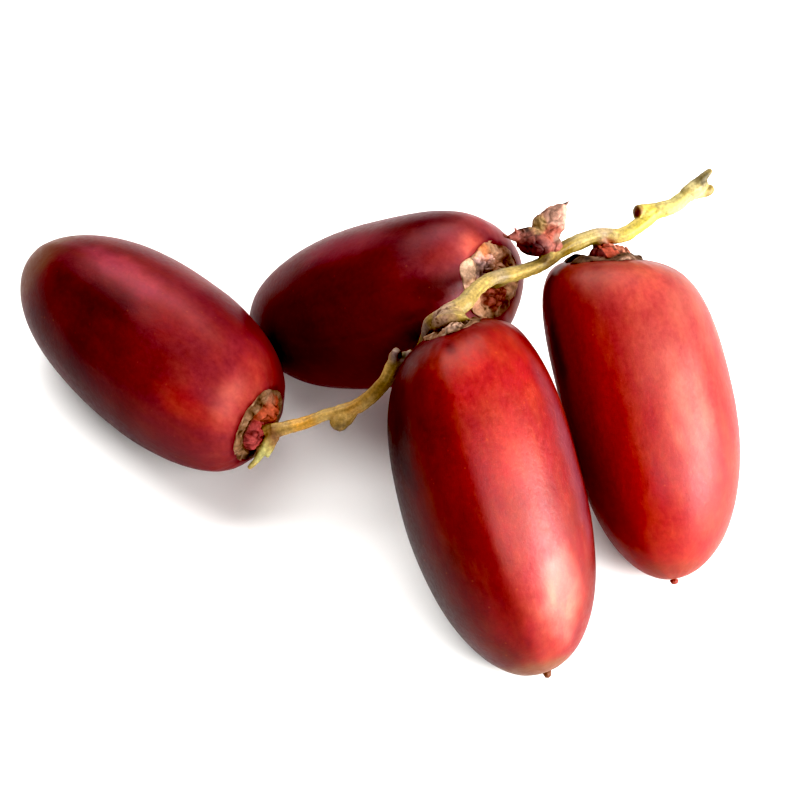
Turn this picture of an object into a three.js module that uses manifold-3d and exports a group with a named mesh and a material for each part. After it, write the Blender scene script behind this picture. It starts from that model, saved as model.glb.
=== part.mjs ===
// Four red dates on the strand that they grew on, picked and laid on a table.
// Millimetres, +Z up. The bunch is laid out as it lies, and then moved so that the middle of its
// outline on the table is the origin.
import * as THREE from "three";
import { mergeVertices } from "three/addons/utils/BufferGeometryUtils.js";
import Module from "manifold-3d";

const wasm = await Module();
wasm.setup();

// Driving dimensions

const settle = 0.25; // depth of the small flat spot that each date rests on
const touchGap = 0.3; // between pieces that touch
const dateSides = 30; // facets round a date and its cap
const dateStations = 20; // facets along a date

// A date has its own axes: x from its tip to its cap end, y level and z upward. heading is where x points over
// the table and raised is how far the cap end is lifted, in degrees. at is the middle of the date. widest is
// its thickest place, from -1 at the tip to 1 at the cap end, and tip and shoulder give the outline on each
// side of it. bow bends the date in y and z. ridge turns the first of three blunt lengthwise ridges from y
// towards z and gives their height. slant slopes an end. rim is the radius of the basin for the cap.
// A lobe of the cap has its angle from y towards z, its distance out, its height and its radius.
const dates = {
  left: {
    length: 54, thickness: 29.2, heading: -42.4, raised: 0, at: [-43, 1.7], widest: 0.25, bow: [0.4, 0.2],
    ridge: [90, 0.3],
    tip: { power: 2.4, root: 0.53, slant: 0.08, point: 0.4 },
    shoulder: { power: 1.58, root: 0.26, slant: [-0.14, -0.04], rim: 6.4 },
    sepalTurn: 95, sepalHeight: 0.5,
    lobes: [
      { angle: 48, out: 2.8, height: 2.6, radius: 2.7 },
      { angle: 195, out: 1.3, height: 2.3, radius: 2.8 },
      { angle: 285, out: 3, height: 0.9, radius: 2.2 },
    ],
    color: 0x6e0f1c,
  },
  back: {
    length: 54.7, thickness: 27.7, heading: -22.2, raised: 37, at: [-4.7, 6], widest: 0.22, bow: [-0.4, 0],
    ridge: [84, 0.3],
    tip: { power: 2.18, root: 0.61, slant: 0.02, point: 0.4 },
    shoulder: { power: 4.04, root: 0.46, slant: [0.3, 0.11], rim: 5.9 },
    sepalTurn: 150, sepalHeight: 0.6,
    lobes: [
      { angle: 86, out: 3, height: 1.2, radius: 2.3 },
      { angle: 245, out: 2.5, height: 1.4, radius: 2.5 },
      { angle: 340, out: 2.6, height: 1, radius: 2 },
    ],
    color: 0x5a0c16,
  },
  front: {
    length: 57.1, thickness: 29.2, heading: 110.9, raised: 42, at: [15.8, -37.2], widest: 0.03, bow: [1.2, 0],
    ridge: [66, 0.35],
    tip: { power: 2.07, root: 0.45, slant: -0.1, point: 1.3 },
    shoulder: { power: 2.69, root: 0.37, slant: [-0.1, 0.01], rim: 4.8 },
    sepalTurn: 35, sepalHeight: 0.45,
    lobes: [
      { angle: 75, out: 2.2, height: 1.3, radius: 2 },
      { angle: 160, out: 2, height: 1.2, radius: 1.8 },
      { angle: 285, out: 2, height: 1, radius: 1.8 },
    ],
    color: 0xb3262a,
  },
  right: {
    length: 53.4, thickness: 27.8, heading: 105.7, raised: 37, at: [38.9, -19.1], widest: 0.08, bow: [-1.8, 0.1],
    ridge: [50, 0.3],
    tip: { power: 2.25, root: 0.5, slant: 0.09, point: 0.9 },
    shoulder: { power: 3.29, root: 0.25, slant: [0.2, -0.08], rim: 6.2 },
    sepalTurn: 20, sepalHeight: 0.9,
    lobes: [
      { angle: 70, out: 2.6, height: 2.6, radius: 2.1 },
      { angle: 105, out: 2.9, height: 3, radius: 1.9 },
      { angle: 142, out: 2.8, height: 2.7, radius: 2 },
      { angle: 270, out: 2.6, height: 1.2, radius: 2.1 },
    ],
    color: 0xb82c2c,
  },
};

const ridgeFade = [0.2, 0.1]; // how far from the tip and from the rim the ridges reach full height
const ridgeTwist = 0.1; // radians that they turn from the middle to an end
// The basin that holds a cap: its steps inward from the rim and down, and the depth at its middle.
const basin = { steps: [[0.3, 0.2], [0.45, 0.7], [0.9, 1.2]], depth: 1.4 };
// A cap: how far its edge stays inside the rim, its thickness under the lobes, the height of its middle and the
// depth of the moat between its sepals and lobes. The sepals' crest has its place and width as parts of the
// cap's radius, and waves in and out with them. The edge turns up steeply, by this power of the place.
const cap = {
  inset: 0.5, floor: 1.05, edgeDrop: 0.3, middle: 0.35, moat: 0.35,
  crestAt: 0.84, crestWidth: 0.14, crestWave: 0.05, edgePower: 8,
};
const capRings = [1, 0.93, 0.85, 0.76, 0.65, 0.52, 0.38, 0.22]; // rings of its face, as parts of its radius

// The strand's middle line from the left date's cap to its free end: x, y, z and thickness. It bends at each
// cushion, as a date strand does.
const strandRoute = [
  [-20.7, -18.3, 15.2, 2.6], [-18.7, -18.4, 16.1, 2.2], [-15.9, -18.4, 17.2, 2.0], [-12.4, -18.1, 19.1, 1.9],
  [-9.8, -18.4, 20.4, 2.4], [-7.0, -18.5, 22.1, 2.4], [-4.5, -18.2, 24.6, 2.3], [-2.3, -17.0, 27.0, 2.3],
  [-0.5, -15.2, 29.4, 2.6], [1.2, -15.1, 29.7, 2.1], [3.0, -14.1, 30.3, 2.0], [4.2, -13.2, 33.0, 2.1],
  [5.0, -13.5, 37.0, 2.5], [7.4, -15.0, 41.2, 3.0], [9.8, -13.8, 42.0, 2.8], [12.2, -9.8, 41.2, 2.4],
  [15.1, -6.4, 40.0, 2.2], [17.7, -4.9, 39.0, 2.5], [20.4, -3.8, 38.8, 2.3], [23.6, -2.0, 38.8, 2.2],
  [26.0, 0.2, 39.1, 2.3], [28.9, 2.2, 38.9, 2.6], [32.4, 3.8, 38.8, 2.4], [35.9, 4.2, 38.2, 2.5],
  [39.2, 6.3, 38.6, 2.5], [41.7, 8.6, 39.0, 2.8], [44.6, 9.5, 39.3, 2.6], [47.1, 11.3, 40.1, 2.4],
  [48.9, 12.5, 40.7, 2.5],
];
const strandSides = 10;
const strandStep = 1.7; // facet length along the strand
const strandRidges = { count: 3, depth: 0.06 }; // blunt ridges along it, as part of its thickness

// Short growths fused to the strand: where each starts and ends, with its thickness there.
const growths = [
  { name: "torn fibre, outer", route: [[-20.9, -18.6, 14.9, 2], [-22.1, -19.6, 12.6, 1.5], [-23.5, -20.6, 10.6, 1.2], [-25, -21.5, 9.2, 0.7]] },
  { name: "torn fibre, inner", route: [[-21, -18.3, 14.6, 1.7], [-22.3, -19.1, 12.9, 1.1], [-23.2, -19.9, 11.6, 0.6]] },
  { name: "torn fibre, short", route: [[-20.5, -18.9, 14.6, 1.6], [-21.3, -20, 12.9, 1.2], [-21.9, -20.9, 11.5, 0.6]] },
  { name: "bump under the thin stretch", route: [[-7.4, -18.7, 21.5, 1.9], [-9, -19.2, 20, 3.1], [-10.1, -19.7, 19.1, 3.1], [-10.6, -20, 18.6, 2.5]] },
  { name: "scar prong, left", route: [[-0.7, -15.3, 29.2, 2.3], [-0.8, -14.9, 30.4, 2.1], [-0.5, -14.6, 31.7, 1.4]] },
  { name: "scar prong, right", route: [[0.3, -15.1, 29.5, 2.4], [1.1, -15, 30.5, 2], [1.9, -14.9, 31.6, 1.1]] },
  { name: "side stub", route: [[43.6, 9.4, 38.9, 2.6], [41.8, 8.8, 39, 2.8], [40, 8.2, 39.5, 2.8], [38.6, 7.6, 40, 2.5]] },
  { name: "upper edge of the torn end", route: [[46.6, 11.2, 40.4, 2], [48.3, 12.3, 41.4, 1.9], [49.8, 13.4, 42.4, 1.4], [50.9, 14.2, 43, 0.9]] },
  { name: "middle of the torn end", route: [[47, 11.2, 40, 2.6], [48.6, 12.4, 40.9, 2.9], [50, 13.1, 41.6, 2]] },
  { name: "curled lip of the torn end", route: [[48, 11.8, 40.1, 2.3], [49.6, 12.2, 39.8, 1.9], [50.7, 12.5, 39.9, 1.7], [51, 12.9, 40.6, 1]] },
];
const growthSides = 7;
// Where on the strand each cushion starts, its thickness there and at the cap.
const cushions = {
  left: { from: [-20.5, -18.4, 15.3], thick: [2.2, 2.4] },
  back: { from: [17.7, -4.9, 39], thick: [2.2, 3] },
  front: { from: [8.2, -14.8, 41.5], thick: [3.2, 6.8] },
  right: { from: [32.4, 3.8, 38.8], thick: [2.4, 3] },
};

// The cap that never filled: the cushion under it, its base, its closed heart and its petals, crumpled together.
// A petal runs from the base through a belly to its tip, and its inner face looks towards its cup.
const barren = {
  cushion: [[23.6, -1.6, 39.2, 2.8], [24.1, -1, 40.4, 2.6], [24.3, -0.8, 40.9, 2.4]],
  base: [24.6, -0.4, 41.3],
  baseSize: [1.6, 1.5, 1.1],
  heart: [21.9, -0.6, 41.8],
  heartSize: [3.1, 2.2, 2.1],
  petals: [
    { belly: [22.5, 1, 44.3], tip: [26.7, 3, 47.1], width: 5, thick: 1.6, cup: [24.2, 2.6, 42] },
    { belly: [21.5, 1.6, 43.8], tip: [23, 2.5, 45.2], width: 4.4, thick: 1.3, cup: [24.2, 2.6, 42] },
    { belly: [21.4, 0, 43.4], tip: [17.2, -0.5, 43], width: 3.2, thick: 1.2, cup: [21.5, 1.6, 41.6] },
    { belly: [22.4, -2.6, 41.4], tip: [18.6, -0.9, 42.3], width: 3.4, thick: 1.4, cup: [22, -0.2, 43] },
  ],
};
const petalStations = 7;
const petalColumns = 5;

// Colours

const strandColor = 0xb59a3c;
const capColor = 0x9a6a4a;
const barrenColor = 0xb06a60;

// Small helpers

const radians = THREE.MathUtils.degToRad;
const point = ([x, y, z]) => new THREE.Vector3(x, y, z);
const clamp = THREE.MathUtils.clamp;

// A closed skin over rings of equal count, from one end point to the other. Each ring turns by the right-hand
// rule about the way the rings go.
function skinOver(start, rings, end) {
  const sides = rings[0].length;
  const points = [start, ...rings.flat(), end];
  const faces = [];
  const at = (ring, side) => 1 + ring * sides + (side % sides);
  for (let side = 0; side < sides; side++) {
    faces.push(0, at(0, side + 1), at(0, side));
    for (let ring = 0; ring < rings.length - 1; ring++) {
      faces.push(at(ring, side), at(ring, side + 1), at(ring + 1, side + 1));
      faces.push(at(ring, side), at(ring + 1, side + 1), at(ring + 1, side));
    }
    faces.push(points.length - 1, at(rings.length - 1, side), at(rings.length - 1, side + 1));
  }
  const geometry = new THREE.BufferGeometry().setFromPoints(points);
  geometry.setIndex(faces);
  return geometry;
}

function solidOf(geometry) {
  const bare = geometry.clone();
  bare.deleteAttribute("normal");
  bare.deleteAttribute("uv");
  const merged = mergeVertices(bare, 1e-4);
  return new wasm.Manifold(
    new wasm.Mesh({
      numProp: 3,
      vertProperties: merged.attributes.position.array,
      triVerts: new Uint32Array(merged.index.array),
    }),
  );
}

function geometryOf(solid) {
  const mesh = solid.getMesh();
  const geometry = new THREE.BufferGeometry();
  geometry.setAttribute("position", new THREE.BufferAttribute(mesh.vertProperties, 3));
  geometry.setIndex(new THREE.BufferAttribute(mesh.triVerts, 1));
  return geometry;
}

function namedMesh(name, geometry, color, roughness) {
  const shaded = geometry.toNonIndexed();
  shaded.computeVertexNormals();
  const mesh = new THREE.Mesh(shaded, new THREE.MeshStandardMaterial({ color, roughness, metalness: 0 }));
  mesh.name = name;
  return mesh;
}

// The dates

// Radius of the skin at a place u, from -1 at the tip to 1 at the cap end.
function skinRadius(u, date) {
  const { tip, shoulder, widest, thickness } = date;
  const towardTip = clamp((widest - u) / (1 + widest), 0, 1);
  const towardCap = clamp((u - widest) / (1 - widest), 0, 1);
  const part =
    u < widest ? (1 - towardTip ** tip.power) ** tip.root : (1 - towardCap ** shoulder.power) ** shoulder.root;
  return (part * thickness) / 2;
}

// The place where the shoulder has drawn in to the rim of the basin.
function rimPlace({ shoulder, widest, thickness }) {
  const left = 1 - ((2 * shoulder.rim) / thickness) ** (1 / shoulder.root);
  return widest + (1 - widest) * left ** (1 / shoulder.power);
}

// A ring of the skin at place u, with its radius and its height over that place. The ridges fade at both ends.
function dateRing(u, radius, height, date) {
  const { length, bow, ridge, tip, shoulder } = date;
  const [turn, ridgeHeight] = ridge;
  const ridgePart = clamp((1 + u) / ridgeFade[0], 0, 1) * clamp((rimPlace(date) - u) / ridgeFade[1], 0, 1);
  const capPart = clamp(u, 0, 1) ** 4;
  const tipPart = clamp(-u, 0, 1) ** 2;
  const ring = [];
  for (let side = 0; side < dateSides; side++) {
    const angle = (side / dateSides) * 2 * Math.PI;
    const swell = ridgeHeight * ridgePart * Math.cos(3 * (angle - radians(turn) + ridgeTwist * u));
    const y = (radius + swell) * Math.cos(angle);
    const z = (radius + swell) * Math.sin(angle);
    const slope = capPart * (shoulder.slant[0] * y + shoulder.slant[1] * z) + tipPart * tip.slant * y;
    ring.push(
      new THREE.Vector3(
        (u * length) / 2 + height + slope,
        y + bow[0] * (1 - u * u),
        z + bow[1] * (1 - u * u),
      ),
    );
  }
  return ring;
}

function dateGeometry(date) {
  const { length, tip, bow, shoulder } = date;
  const rimU = rimPlace(date);
  const rings = [dateRing(-1, 0.5, -tip.point * 0.8, date), dateRing(-1, 0.75, -tip.point * 0.2, date)];
  for (let station = 1; station <= dateStations; station++) {
    const u = -1 + ((rimU + 1) * (1 - Math.cos((station / dateStations) * Math.PI))) / 2;
    rings.push(dateRing(u, skinRadius(u, date), 0, date));
  }
  for (const [inward, down] of basin.steps) rings.push(dateRing(rimU, shoulder.rim - inward, -down, date));
  const apex = new THREE.Vector3(-length / 2 - tip.point, 0, 0);
  const sag = 1 - rimU * rimU;
  const floor = new THREE.Vector3((rimU * length) / 2 - basin.depth, bow[0] * sag, bow[1] * sag);
  return skinOver(apex, rings, floor);
}

// The caps

// Height of a cap's face over the rim, at a distance out and an angle.
function capHeight(out, angle, date) {
  const radius = date.shoulder.rim - cap.inset;
  const part = out / radius;
  const sepal = Math.cos(3 * (angle - radians(date.sepalTurn)));
  const fromCrest = (part - cap.crestAt + cap.crestWave * sepal) / cap.crestWidth;
  const crest = (date.sepalHeight * (1 + 0.4 * sepal) + cap.moat) * Math.exp(-(fromCrest ** 2));
  const edge = cap.moat * part ** cap.edgePower;
  const middle = (cap.middle + cap.moat) * Math.exp(-((part / 0.4) ** 2));
  let lobe = 0;
  for (const { angle: turn, out: away, height, radius: reach } of date.lobes) {
    const y = out * Math.cos(angle) - away * Math.cos(radians(turn));
    const z = out * Math.sin(angle) - away * Math.sin(radians(turn));
    const near = clamp(1 - (y * y + z * z) / (reach * reach), 0, 1);
    lobe = Math.max(lobe, (height + cap.moat) * Math.sqrt(near));
  }
  return Math.max(crest, middle, lobe, edge) - cap.moat;
}

function capGeometry(date) {
  const { length, bow, shoulder } = date;
  const radius = shoulder.rim - cap.inset;
  const rimU = rimPlace(date);
  const rings = [
    dateRing(rimU, radius * 0.8, 0.15 - cap.floor, date),
    dateRing(rimU, radius - 0.1, -cap.edgeDrop, date),
  ];
  for (const part of capRings) {
    const ring = dateRing(rimU, radius * part, 0, date);
    ring.forEach((vertex, side) => {
      vertex.x += capHeight(radius * part, (side / dateSides) * 2 * Math.PI, date);
    });
    rings.push(ring);
  }
  const sag = 1 - rimU * rimU;
  const middle = (height) => new THREE.Vector3((rimU * length) / 2 + height, bow[0] * sag, bow[1] * sag);
  return skinOver(middle(-cap.floor), rings, middle(cap.middle));
}

// The strand

// A tapering stem along x, y, z, thickness points, with blunt ridges where asked. extra thickens it all over.
function stemGeometry(route, sides, step, ridges, extra) {
  const curve = new THREE.CatmullRomCurve3(route.map(point));
  const steps = Math.max(3, Math.round(curve.getLength() / step));
  const frames = curve.computeFrenetFrames(steps);
  const rings = [];
  for (let station = 0; station <= steps; station++) {
    const along = station / steps;
    const part = curve.getUtoTmapping(along);
    const middle = curve.getPoint(part);
    const place = part * (route.length - 1);
    const before = Math.min(Math.floor(place), route.length - 2);
    const thickness = THREE.MathUtils.lerp(route[before][3], route[before + 1][3], place - before);
    const ring = [];
    for (let side = 0; side < sides; side++) {
      const angle = (side / sides) * 2 * Math.PI;
      const ridge = 1 + ridges.depth * Math.cos(ridges.count * angle + 4 * along * Math.PI);
      const radius = (thickness / 2) * ridge + extra;
      ring.push(
        middle
          .clone()
          .addScaledVector(frames.normals[station], radius * Math.cos(angle))
          .addScaledVector(frames.binormals[station], radius * Math.sin(angle)),
      );
    }
    rings.push(ring);
  }
  const moved = (ring, tangent, distance) => ring.map((vertex) => vertex.clone().addScaledVector(tangent, distance));
  if (extra > 0) {
    rings.unshift(moved(rings[0], frames.tangents[0], -extra));
    rings.push(moved(rings[rings.length - 1], frames.tangents[steps], extra));
  }
  const overrun = (end) => route[end][3] * 0.2 + 2 * extra;
  const start = point(route[0]).addScaledVector(frames.tangents[0], -overrun(0));
  const last = route.length - 1;
  const end = point(route[last]).addScaledVector(frames.tangents[steps], overrun(last));
  return skinOver(start, rings, end);
}

const smooth = { count: 0, depth: 0 };

// The strand with all that grows on it. extra thickens it all over.
function strandSolid(extra, cushionRoutes) {
  let strand = solidOf(stemGeometry(strandRoute, strandSides, strandStep, strandRidges, extra));
  for (const route of [...growths.map((growth) => growth.route), ...cushionRoutes])
    strand = strand.add(solidOf(stemGeometry(route, growthSides, 1, smooth, extra)));
  return strand;
}

// The unfilled cap

// A cupped petal from the base through its belly to its tip. Its two faces close at its edges.
function petalGeometry({ belly, tip, width, thick, cup }) {
  const curve = new THREE.QuadraticBezierCurve3(point(barren.base), point(belly), point(tip));
  const rings = [];
  for (let station = 0; station < petalStations; station++) {
    const along = 0.04 + (0.92 * station) / (petalStations - 1);
    const middle = curve.getPoint(along);
    const tangent = curve.getTangent(along);
    const inward = point(cup).sub(middle);
    inward.addScaledVector(tangent, -inward.dot(tangent)).normalize();
    const across = new THREE.Vector3().crossVectors(inward, tangent);
    const half = (width / 2) * Math.sin(Math.PI * (0.12 + 0.86 * along)) ** 0.8;
    const row = (face) => {
      const points = [];
      for (let column = 0; column < petalColumns; column++) {
        const part = 1 - (2 * column) / (petalColumns - 1);
        const body = (thick / 2) * (1 - 0.6 * part * part);
        points.push(
          middle
            .clone()
            .addScaledVector(across, part * half * face)
            .addScaledVector(inward, 0.35 * half * part * part + face * body),
        );
      }
      return points;
    };
    rings.push([...row(1), ...row(-1)]);
  }
  return skinOver(curve.getPoint(0), rings, curve.getPoint(1));
}

function barrenSolid() {
  const lump = (size, place) => solidOf(new THREE.SphereGeometry(1, 12, 8).scale(...size).translate(...place));
  let solid = lump(barren.baseSize, barren.base).add(lump(barren.heartSize, barren.heart));
  for (const petal of barren.petals) solid = solid.add(solidOf(petalGeometry(petal)));
  return solid;
}

// Assembly

const layout = new THREE.Group();
const capSolids = {};
const cushionRoutes = [barren.cushion];
const placements = {};

// Each date is turned to lie as it does and lowered until its flat spot is settled into the table.
for (const [name, date] of Object.entries(dates)) {
  const skin = dateGeometry(date);
  const placed = new THREE.Group();
  placed.rotation.set(0, -radians(date.raised), radians(date.heading), "ZYX");
  placed.position.set(date.at[0], date.at[1], 0);
  placed.updateMatrixWorld(true);
  const lowest = new THREE.Box3().setFromBufferAttribute(
    skin.clone().applyMatrix4(placed.matrixWorld).getAttribute("position"),
  ).min.z;
  placed.position.z = -lowest - settle;
  placed.updateMatrixWorld(true);
  placements[name] = placed.matrixWorld.clone();

  const table = new THREE.BoxGeometry(200, 200, 20).translate(date.at[0], date.at[1], -10);
  const whole = solidOf(skin.applyMatrix4(placed.matrixWorld));
  const rested = geometryOf(whole.subtract(solidOf(table)));
  layout.add(namedMesh("date_" + name, rested, date.color, 0.35));

  capSolids[name] = solidOf(capGeometry(date).applyMatrix4(placed.matrixWorld));
  const rimU = rimPlace(date);
  const sag = 1 - rimU * rimU;
  const meeting = new THREE.Vector3(
    (rimU * date.length) / 2 + cap.middle + touchGap,
    date.bow[0] * sag,
    date.bow[1] * sag,
  ).applyMatrix4(placed.matrixWorld);
  const { from, thick } = cushions[name];
  const toCap = meeting.clone().sub(point(from));
  meeting.addScaledVector(toCap.normalize(), -thick[1] * 0.2);
  const halfWay = point(from).lerp(meeting, 0.5);
  cushionRoutes.push([
    [...from, thick[0]],
    [...halfWay.toArray(), (thick[0] + thick[1]) / 2],
    [...meeting.toArray(), thick[1]],
  ]);
}

const strand = strandSolid(0, cushionRoutes);
const sleeve = strandSolid(touchGap, cushionRoutes); // keeps the caps clear of the strand
for (const [name, solid] of Object.entries(capSolids))
  layout.add(namedMesh("cap_" + name, geometryOf(solid.subtract(sleeve)), capColor, 0.8));
layout.add(namedMesh("barren_cap", geometryOf(barrenSolid().subtract(sleeve)), barrenColor, 0.8));
layout.add(namedMesh("strand", geometryOf(strand), strandColor, 0.6));

const outline = new THREE.Box3().setFromObject(layout, true);
const middle = outline.getCenter(new THREE.Vector3());
layout.position.set(-middle.x, -middle.y, -outline.min.z);

const bunch = new THREE.Group();
bunch.add(layout);

export default bunch;
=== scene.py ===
import math

import bpy
import numpy as np
from mathutils import Matrix, Vector, kdtree, noise


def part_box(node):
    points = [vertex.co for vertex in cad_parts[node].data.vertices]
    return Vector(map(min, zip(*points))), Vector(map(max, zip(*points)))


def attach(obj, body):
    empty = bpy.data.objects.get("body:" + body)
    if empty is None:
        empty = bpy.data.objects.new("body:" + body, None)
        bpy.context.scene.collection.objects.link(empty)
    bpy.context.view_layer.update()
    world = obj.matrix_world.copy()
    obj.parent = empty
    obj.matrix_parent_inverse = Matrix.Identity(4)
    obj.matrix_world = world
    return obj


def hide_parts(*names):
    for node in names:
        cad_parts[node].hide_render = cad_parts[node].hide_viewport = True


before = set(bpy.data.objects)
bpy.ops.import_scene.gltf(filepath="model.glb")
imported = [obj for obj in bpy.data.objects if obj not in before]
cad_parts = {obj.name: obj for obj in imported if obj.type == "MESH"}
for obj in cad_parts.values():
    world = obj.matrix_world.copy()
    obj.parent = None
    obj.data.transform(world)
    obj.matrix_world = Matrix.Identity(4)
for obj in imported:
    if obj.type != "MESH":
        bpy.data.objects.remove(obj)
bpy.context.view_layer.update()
mm = 0.001
print("frame loaded")


# Small helpers for numbers and meshes. Points are in millimetres until a mesh is made.

def ramp(low, high, value):  # from 0 to 1, soft at both ends
    part = np.clip((value - low) / (high - low), 0, 1)
    return part * part * (3 - 2 * part)


def apart(angle, other, whole=2 * math.pi):  # how far an angle is past another, the short way round
    return (angle - other + whole / 2) % whole - whole / 2


def noiseAt(points, size, seed):  # smooth noise from -1 to 1, with features of about size
    offset = Vector((seed * 7.31, seed * 3.77, seed * 5.13))
    return np.array([noise.noise(Vector(p) / size + offset) for p in points])


def crumpleAt(points, size, seed):  # the same with finer noise on top
    return noiseAt(points, size, seed) + 0.5 * noiseAt(points, size / 2.1, seed + 1)


def bell(away, width):  # 1 at the middle, and soft at both sides
    return np.exp(-(away / width) ** 2)


def evenAngles(count):
    return np.arange(count) / count * 2 * math.pi


def linearOf(code):  # sRGB hex to a linear colour
    parts = [int(code[i:i + 2], 16) / 255 for i in (1, 3, 5)]
    return [p / 12.92 if p <= 0.04045 else ((p + 0.055) / 1.055) ** 2.4 for p in parts]


def skinOver(first, rings, last):  # a closed mesh over rings of equal count, from one end point to the other
    rings = np.asarray(rings)
    count, sides = rings.shape[:2]
    points = np.vstack([[first], rings.reshape(-1, 3), [last]])
    end = len(points) - 1
    faces = []
    for side in range(sides):
        after = (side + 1) % sides
        faces.append((0, 1 + after, 1 + side))
        for ring in range(count - 1):
            row = 1 + ring * sides
            faces.append((row + side, row + after, row + sides + after, row + sides + side))
        row = 1 + (count - 1) * sides
        faces.append((end, row + side, row + after))
    return points, faces


def addObject(name, data):
    thing = bpy.data.objects.new(name, data)
    bpy.context.scene.collection.objects.link(thing)
    return thing


def meshOf(name, points, faces):
    mesh = bpy.data.meshes.new(name)
    mesh.from_pydata([tuple(p) for p in np.asarray(points) * mm], [], faces)
    mesh.update()
    mesh.shade_smooth()
    return addObject(name, mesh)


def vertexValues(piece, kind):  # "co" for places in metres, or "normal"
    flat = np.zeros(len(piece.data.vertices) * 3)
    piece.data.vertices.foreach_get(kind, flat)
    return flat.reshape(-1, 3)


def movePoints(piece, points):
    piece.data.vertices.foreach_set("co", (np.asarray(points) * mm).ravel())
    piece.data.update()


def storeVectors(piece, name, vectors):  # for a material to read
    attribute = piece.data.attributes.new(name, "FLOAT_VECTOR", "POINT")
    attribute.data.foreach_set("vector", np.asarray(vectors, dtype=np.float32).ravel())


def storeColors(piece, name, colors):
    rgba = np.ones((len(colors), 4), dtype=np.float32)
    rgba[:, :3] = colors
    attribute = piece.data.attributes.new(name, "FLOAT_COLOR", "POINT")
    attribute.data.foreach_set("color", rgba.ravel())


def mixColors(base, over, share):  # each is sRGB hex or linear colours
    base, over = (np.asarray(linearOf(tone) if isinstance(tone, str) else tone) for tone in (base, over))
    share = np.clip(share, 0, 1)[:, None]
    return base * (1 - share) + over * share


def dressIn(piece, tone, material):
    storeColors(piece, "tone", np.clip(tone, 0, 1))
    piece.data.materials.append(material)


# Material helpers

def newMaterial(name):
    material = bpy.data.materials.new(name)
    material.use_nodes = True
    tree = material.node_tree
    return material, tree, tree.nodes["Principled BSDF"]


def setNode(tree, node, settings):  # a value that is a node, or a node's socket, is linked
    for name, value in settings.items():
        source = value.outputs[0] if hasattr(value, "outputs") else value
        if isinstance(source, bpy.types.NodeSocket):
            tree.links.new(source, node.inputs[name])
        elif isinstance(name, int) or name in node.inputs:
            node.inputs[name].default_value = value
        else:
            setattr(node, name, value)
    return node


def addNode(tree, kind, settings):
    return setNode(tree, tree.nodes.new("ShaderNode" + kind), settings)


def paint(code):  # sRGB hex to the value of a colour socket
    return (*linearOf(code), 1)


# The dates. Each has its own axes: x from its tip to its cap end, y level and z upward. Sizes are in mm and
# angles in degrees. A turn is round x, from y towards z. A place along a date is -1 at its tip and 1 at its
# cap end.
# ridge: turn and height. lobes: turn, distance out, height and reach. cork: plain, dark and pale tone.
# capPatchesAndPaintedLight: turn, distance out, reach, tone and share. Most are real cork tones; a near-black
# one on the left cap is painted shade, and a pale one on the back cap is painted light in a shaded hollow.
# blush: level, then its growth along, across, upward and towards both ends. It is partly real blush and
# partly painted light, brighter on the side facing the lamps and darker on the side away from them.
# tints: place, turn, reach along, reach around, tone and share. Some are real patches of another red or
# brown, others painted highlights, painted reflection and painted shade.

# moat: the tone of painted shade in the low hollow inside each cap's ring.
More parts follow.
